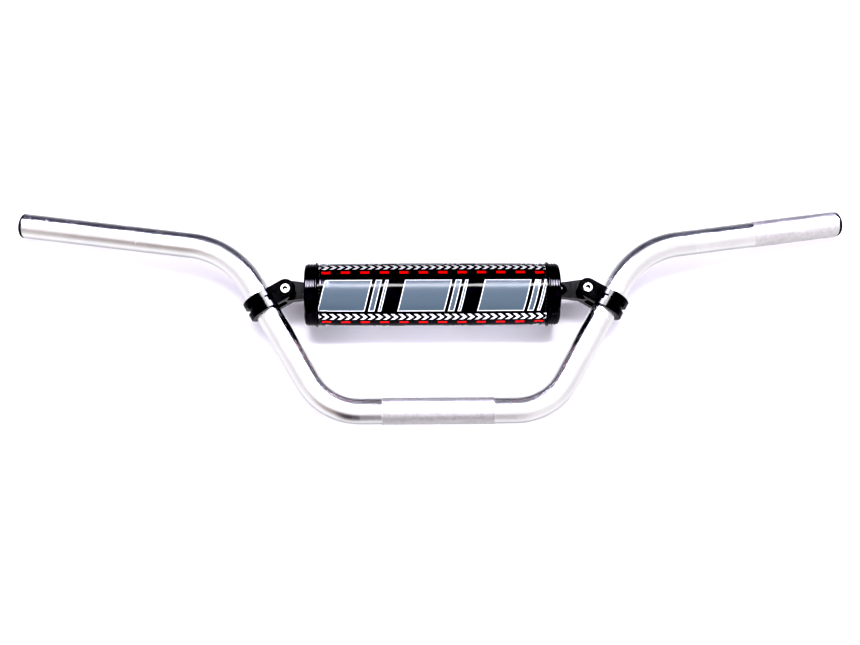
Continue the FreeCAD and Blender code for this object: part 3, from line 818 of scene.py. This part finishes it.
def make_foam(material):
    """The foam core: its outside hangs below the crossbar, its bore follows the crossbar."""
    low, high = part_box("pad_foam")
    radius = (high.z - low.z) / 2 - FOAM_INSET
    length = high.x - low.x
    profile = []
    for step in range(FOAM_STEPS + 1):
        profile.append((low.x + length * step / FOAM_STEPS, radius, PAD_CENTRE.z))
    for x, bore in (
        (high.x, MOUTH_RADIUS), (high.x - MOUTH_DEPTH, MOUTH_RADIUS), (high.x - MOUTH_DEPTH, BORE_RADIUS),
        (low.x + MOUTH_DEPTH, BORE_RADIUS), (low.x + MOUTH_DEPTH, MOUTH_RADIUS), (low.x, MOUTH_RADIUS),
    ):
        profile.append((x, bore, CROSSBAR_Z))
    piece = piece_from(closed_ring(profile, FOAM_UNEVENNESS), "foam_core", "pad", material)
    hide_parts("pad_foam")


def add_stitch(build, place, along, outward):
    """One stitch: a short round-ended stroke of thread lying on the surface."""
    across = outward.cross(along).normalized()
    turn = Matrix((along.normalized(), across, outward)).transposed().to_4x4()
    size = Matrix.Diagonal((STITCH_LENGTH / 2, STITCH_WIDTH / 2, STITCH_WIDTH / 2, 1))
    matrix = Matrix.Translation(place) @ turn @ size
    bmesh.ops.create_uvsphere(build, u_segments=8, v_segments=6, radius=1, matrix=matrix)


def make_seam_stitches(side, material):
    """A row of stitches round the cover, in the dip beside the piping."""
    x = COVER_HIGH.x - SEAM_FROM_END if side == "left" else COVER_LOW.x + SEAM_FROM_END
    radius = cover_radius(SEAM_FROM_END) + STITCH_LIFT
    count = round(2 * math.pi * radius / STITCH_PITCH)
    build = bmesh.new()
    for step in range(count):
        angle = 2 * math.pi * (step + 0.5) / count
        outward = Vector((0, -math.cos(angle), math.sin(angle)))
        along = Vector((STITCH_SLANT, math.sin(angle), math.cos(angle)))
        place = ring_point(x, radius + cover_pucker(angle, SEAM_FROM_END), PAD_CENTRE.z, angle)
        add_stitch(build, place, along - outward * along.dot(outward), outward)
    piece_from(build, "seam_stitches_" + side, "pad", material)


def closure_point(x, angle, radius):
    """A point on the back of the pad, angle 0 straight back, up positive."""
    return Vector((x, radius * math.cos(angle), PAD_CENTRE.z + radius * math.sin(angle)))


def closure_layer(build, lift):
    """Lines of vertices over the closure strip, one line for each step along it. Its corners are round."""
    layer = []
    for row in range(CLOSURE_ROWS + 1):
        x = CLOSURE_MIDDLE + CLOSURE_HALF_LENGTH * (2 * row / CLOSURE_ROWS - 1)
        from_end = CLOSURE_HALF_LENGTH - abs(x - CLOSURE_MIDDLE)
        into_corner = max(0, CLOSURE_CORNER - from_end)
        narrow = CLOSURE_CORNER - math.sqrt(max(0, CLOSURE_CORNER ** 2 - into_corner ** 2))
        reach = CLOSURE_HALF_ANGLE - narrow / PAD_RADIUS
        line = []
        for column in range(CLOSURE_COLUMNS + 1):
            angle = reach * (2 * column / CLOSURE_COLUMNS - 1)
            ripple = CLOSURE_RIPPLE * noise.noise(Vector((x * 60, angle * 6, 3)))
            line.append(build.verts.new(closure_point(x, angle, PAD_RADIUS + lift + ripple)))
        layer.append(line)
    return layer


def make_closure_strip(material):
    """The closure strip on the back: a curved woven band with closed edges."""
    build = bmesh.new()
    outside = closure_layer(build, CLOSURE_OUTSIDE)
    inside = closure_layer(build, CLOSURE_INSIDE)
    for layer in (outside, inside):
        for line, after in zip(layer, layer[1:]):
            join_lines(build, line, after)
    for end in (0, -1):
        join_lines(build, outside[end], inside[end])
        join_lines(build, [line[end] for line in outside], [line[end] for line in inside])
    strip = piece_from(build, "closure_strip", "pad", material)
    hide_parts("pad_closure")


def make_closure_stitches(material):
    """Stitches along the closure strip's two long edges and across its two ends."""
    build = bmesh.new()
    radius = PAD_RADIUS + CLOSURE_OUTSIDE + STITCH_LIFT
    side_angle = CLOSURE_HALF_ANGLE - CLOSURE_SEAM_INSET / PAD_RADIUS
    end_reach = CLOSURE_HALF_LENGTH - CLOSURE_SEAM_INSET
    side_reach = end_reach - CLOSURE_SEAM_INSET
    count = round(2 * side_reach / STITCH_PITCH)
    for step in range(count + 1):
        x = CLOSURE_MIDDLE + side_reach * (2 * step / count - 1)
        for angle in (-side_angle, side_angle):
            outward = Vector((0, math.cos(angle), math.sin(angle)))
            add_stitch(build, closure_point(x, angle, radius), Vector((1, 0, 0)), outward)
    count = round(2 * side_angle * PAD_RADIUS / STITCH_PITCH)
    for step in range(count + 1):
        angle = side_angle * (2 * step / count - 1)
        outward = Vector((0, math.cos(angle), math.sin(angle)))
        along = Vector((0, -math.sin(angle), math.cos(angle)))
        for x in (CLOSURE_MIDDLE - end_reach, CLOSURE_MIDDLE + end_reach):
            add_stitch(build, closure_point(x, angle, radius), along, outward)
    piece_from(build, "closure_stitches", "pad", material)


# Stage

TABLE_HALF = 12.0
TABLE_GAP = 0.1 * MM

# One area light.
KEY_LENGTH = 1.0
KEY_WIDTH = 0.22
KEY_WATTS = 17
KEY_TILT = math.radians(11.5)
KEY_DISTANCE = 1.25

# Radiance of the room as reflections see it.
BLACK = (0.0, 0.0, 0.0)
WHITE = (1.0, 1.0, 1.0)
SKY_WHITE = (1.15, 1.14, 1.16)
TABLE_WHITE = (1.06, 1.05, 1.08)
SHADED_TABLE = (0.68, 0.66, 0.70)
DARK_WALL = (0.145, 0.145, 0.19)
BEIGE_WALL = (0.60, 0.53, 0.52)
SHADED_WALL = (0.15, 0.12, 0.14)
GREY_WALL = (0.78, 0.75, 0.77)
PALE_WALL = (1.0, 0.975, 1.0)
DARK_WALL_RISE = 0.38
GLOW = 45.0
GLOW_RIM = (0.10, 0.09, 0.14)
GLOW_CORE = (0.9, 0.87, 1.0)
GLOW_REACH = math.radians(18)
GLOW_SIDEWAYS = 0.45
GLOW_FORWARD = -0.75
GLOW_RISE = 0.50

# Radiance of the room as it lights matt surfaces.
TOP_WALL_LIGHT = (0.6, 0.58, 0.66, 1)
FOOT_WALL_LIGHT = (5.0, 4.94, 5.15, 1)
OVERHEAD_LIGHT = (0.9, 0.88, 0.96, 1)
FOOT_OVERHEAD_LIGHT = (0.2, 0.195, 0.22, 1)


def table_plane(grip):
    """The table's middle, its normal towards the viewer, and the direction up along it."""
    axis = Vector(grip["axis"])
    end = Vector(grip["pos_m"]) + axis * (grip["dims"]["length_mm"] * MM / 2)
    up = Vector((0, end.y, end.z)).normalized()
    normal = Vector((0, -up.z, up.y))
    rest = grip["dims"]["r_mm"] * MM + KNURL_HEIGHT + TABLE_GAP
    return -normal * rest, normal, up


def make_table(middle, up):
    """A wide pale table behind the bar. Seen from its back it lets the view through."""
    mesh = bpy.data.meshes.new("table")
    across = Vector((1, 0, 0))
    corners = []
    for right, rise in ((-1, -1), (1, -1), (1, 1), (-1, 1)):
        corners.append(middle + across * (TABLE_HALF * right) + up * (TABLE_HALF * rise))
    mesh.from_pydata(corners, [], [(0, 1, 2, 3)])
    table = bpy.data.objects.new("table", mesh)
    bpy.context.scene.collection.objects.link(table)
    data = bpy.data.materials.new("pale_table")
    data.use_nodes = True
    graph = Graph(data.node_tree)
    place = graph.add("TexCoord", {}).outputs["Object"]
    tone = graph.two_tone(graph.noise(place, 3, 3), 0.3, 0.7, TABLE_GREY)
    paint = graph.add("BsdfDiffuse", {"Color": tone}).outputs[0]
    clear = graph.add("BsdfTransparent", {}).outputs[0]
    behind = graph.add("NewGeometry", {}).outputs["Backfacing"]
    both = graph.add("MixShader", {0: behind, 1: paint, 2: clear}).outputs[0]
    graph.put(graph.tree.nodes["Material Output"].inputs["Surface"], both)
    graph.tree.nodes.remove(graph.tree.nodes["Principled BSDF"])
    mesh.materials.append(data)
    table.visible_glossy = False


def at(sine):
    """A sine from -1 to 1 as a place on a ramp."""
    return 0.5 + 0.5 * sine


def top_side(graph, sine, across):
    """Beyond the top of the bar: a dark wall that rises towards both sides, from table to sky."""
    rise = graph.math("MULTIPLY", graph.math("ABSOLUTE", across), DARK_WALL_RISE)
    return graph.ramp(graph.remap(graph.math("SUBTRACT", sine, rise), -1, 1), [
        (at(-0.85), TABLE_WHITE), (at(0.0), DARK_WALL), (at(0.44), DARK_WALL), (at(0.96), SKY_WHITE)
    ])


def foot_side(graph, sine, across):
    """Beyond the foot of the bar: a wall whose colour changes across, over a shaded table, under the sky."""
    wall = graph.ramp(graph.remap(across, -1, 1), [
        (at(-0.8), PALE_WALL), (at(-0.6), BEIGE_WALL), (at(-0.45), BEIGE_WALL), (at(-0.3), SHADED_WALL),
        (at(-0.1), SHADED_WALL), (at(0.05), GREY_WALL), (at(0.4), PALE_WALL),
    ])
    height = graph.remap(sine, -1, 1)
    tall_share = graph.ramp(height, [
        (at(-0.7), BLACK), (at(0.0), WHITE), (at(0.45), WHITE), (at(0.72), BLACK)
    ])
    low_share = graph.ramp(height, [
        (at(-0.35), BLACK), (at(0.25), WHITE), (at(0.42), WHITE), (at(0.62), BLACK)
    ])
    wall_share = graph.mix(graph.remap(across, -0.45, -0.3), low_share, tall_share)
    below = graph.ramp(height, [(at(-0.92), SHADED_TABLE), (at(-0.6), SKY_WHITE)])
    return graph.mix(wall_share, below, wall)


def glowing_patch(graph, direction, side):
    """A small bright patch overhead, towards the top of the bar and to one side."""
    toward = Vector((GLOW_SIDEWAYS * side, GLOW_FORWARD, GLOW_RISE)).normalized()
    nearness = graph.number("DOT_PRODUCT", direction, tuple(toward))
    glow = graph.ramp(graph.remap(nearness, math.cos(GLOW_REACH), 1), [
        (0.0, BLACK), (0.4, GLOW_RIM), (0.8, GLOW_CORE)
    ])
    return graph.vector("MULTIPLY", glow, (GLOW, GLOW, GLOW))


def make_room(normal, up):
    """The world. Reflections see a room of walls, sky and table, matt surfaces are lit by other and
    plainer values, and the camera sees white."""
    world = bpy.data.worlds.new("room")
    world.use_nodes = True
    bpy.context.scene.world = world
    world.cycles.sampling_method = "NONE"
    graph = Graph(world.node_tree)
    direction = graph.add("TexCoord", {}).outputs["Generated"]
    across = graph.number("DOT_PRODUCT", direction, (1, 0, 0))
    sine = graph.number("DOT_PRODUCT", direction, tuple(normal))
    beyond = graph.remap(graph.number("DOT_PRODUCT", direction, tuple(up)), -0.12, 0.12)

    room = graph.mix(beyond, foot_side(graph, sine, across), top_side(graph, sine, across))
    for side in (-1, 1):
        room = graph.vector("ADD", room, glowing_patch(graph, direction, side))

    overhead = graph.mix(beyond, FOOT_OVERHEAD_LIGHT, OVERHEAD_LIGHT)
    wall_light = graph.mix(beyond, FOOT_WALL_LIGHT, TOP_WALL_LIGHT)
    light = graph.mix(graph.remap(sine, 0.5, 0.75), wall_light, overhead)

    ray = graph.add("LightPath", {}).outputs
    shade = graph.mix(ray["Is Diffuse Ray"], room, light)
    colour = graph.mix(ray["Is Camera Ray"], shade, (*WHITE, 1))
    graph.put(graph.tree.nodes["Background"].inputs["Color"], colour)


def make_key(middle, normal, up):
    """One long soft light nearly over the table, a little towards the top of the bar."""
    light = bpy.data.lights.new("key", "AREA")
    light.shape = "RECTANGLE"
    light.size = KEY_LENGTH
    light.size_y = KEY_WIDTH
    light.energy = KEY_WATTS
    lamp = bpy.data.objects.new("key", light)
    bpy.context.scene.collection.objects.link(lamp)
    away = normal * math.cos(KEY_TILT) + up * math.sin(KEY_TILT)
    lamp.location = middle + away * KEY_DISTANCE
    lamp.rotation_mode = "QUATERNION"
    lamp.rotation_quaternion = (-away).to_track_quat("-Z", "Y")


def make_camera():
    """The camera, and the tones that the view is shown in."""
    flat = math.cos(VIEW_ELEVATION)
    away = Vector((math.sin(VIEW_YAW) * flat, -math.cos(VIEW_YAW) * flat, math.sin(VIEW_ELEVATION)))
    right = (-away).cross(Vector((0, 0, 1))).normalized()
    rise = away.cross(right)
    rolled_right = right * math.cos(VIEW_ROLL) + rise * math.sin(VIEW_ROLL)
    rolled_rise = rise * math.cos(VIEW_ROLL) - right * math.sin(VIEW_ROLL)
    data = bpy.data.cameras.new("camera")
    data.sensor_width = VIEW_SENSOR
    data.lens = VIEW_LENS
    camera = bpy.data.objects.new("camera", data)
    bpy.context.scene.collection.objects.link(camera)
    turn = Matrix((rolled_right, rolled_rise, away)).transposed().to_4x4()
    camera.matrix_world = Matrix.Translation(VIEW_TARGET + away * VIEW_DISTANCE) @ turn
    bpy.context.scene.camera = camera
    view = bpy.context.scene.view_settings
    view.view_transform = "Standard"
    view.gamma = VIEW_GAMMA
    view.use_curve_mapping = True
    view.curve_mapping.black_level = (VIEW_BLACK_LEVEL, VIEW_BLACK_LEVEL, VIEW_BLACK_LEVEL)


def finish_cad(materials):
    """Gives each shown CAD node its material by the start of its name."""
    for name, node in frame["nodes"].items():
        for start, material in materials.items():
            if name.startswith(start):
                node.data.materials.clear()
                node.data.materials.append(material)


MOUNTS = {mount["name"]: mount for mount in frame["record"]["mounts"]}
TUBE_RADIUS = MOUNTS["grip_right"]["dims"]["r_mm"] * MM

finish_cad({
    "handlebar_tube": satin_silver(),
    "end_plug": moulded_plug(),
    "clamp": gloss_black_anodised("clamp_black", (500, 2600, 500), 0.08),
    "crossbar_end": gloss_black_anodised("crossbar_end_black", (2600, 500, 500), 0.15),
    "crossbar_tube": gloss_black_anodised("crossbar_tube_black", (300, 2600, 2600), 0.2),
    "pivot_screw": socket_screw(),
    "lock_nut": small_part("nut_steel", NUT_STEEL),
    "pivot_bush": small_part("bush_bronze", BUSH_BRONZE),
    "spring_pin": small_part("pin_steel", PIN_STEEL),
})

for zone in ("bar_clamp", "grip_left"):
    mount = MOUNTS[zone]
    metal = knurled_silver(zone + "_knurl", mount["pos_m"], mount["axis"], mount["dims"]["r_mm"] * MM)
    knurl("knurl_" + zone, mount, TUBE_RADIUS - KNURL_ROOT_DEPTH, metal)

make_cover()
make_foam(cell_foam())
piping_vinyl = plain_vinyl("piping_vinyl", 0.16, 0.26)
end_vinyl = plain_vinyl("end_vinyl", 0.07, 0.11)
thread = sewing_thread()
for side in ("left", "right"):
    make_piping(side, piping_vinyl)
    make_end(side, end_vinyl)
    make_seam_stitches(side, thread)
make_closure_strip(woven_strip())
make_closure_stitches(thread)

table_middle, table_normal, table_up = table_plane(MOUNTS["grip_left"])
make_table(table_middle, table_up)
make_room(table_normal, table_up)
make_key(PAD_CENTRE, table_normal, table_up)
make_camera()
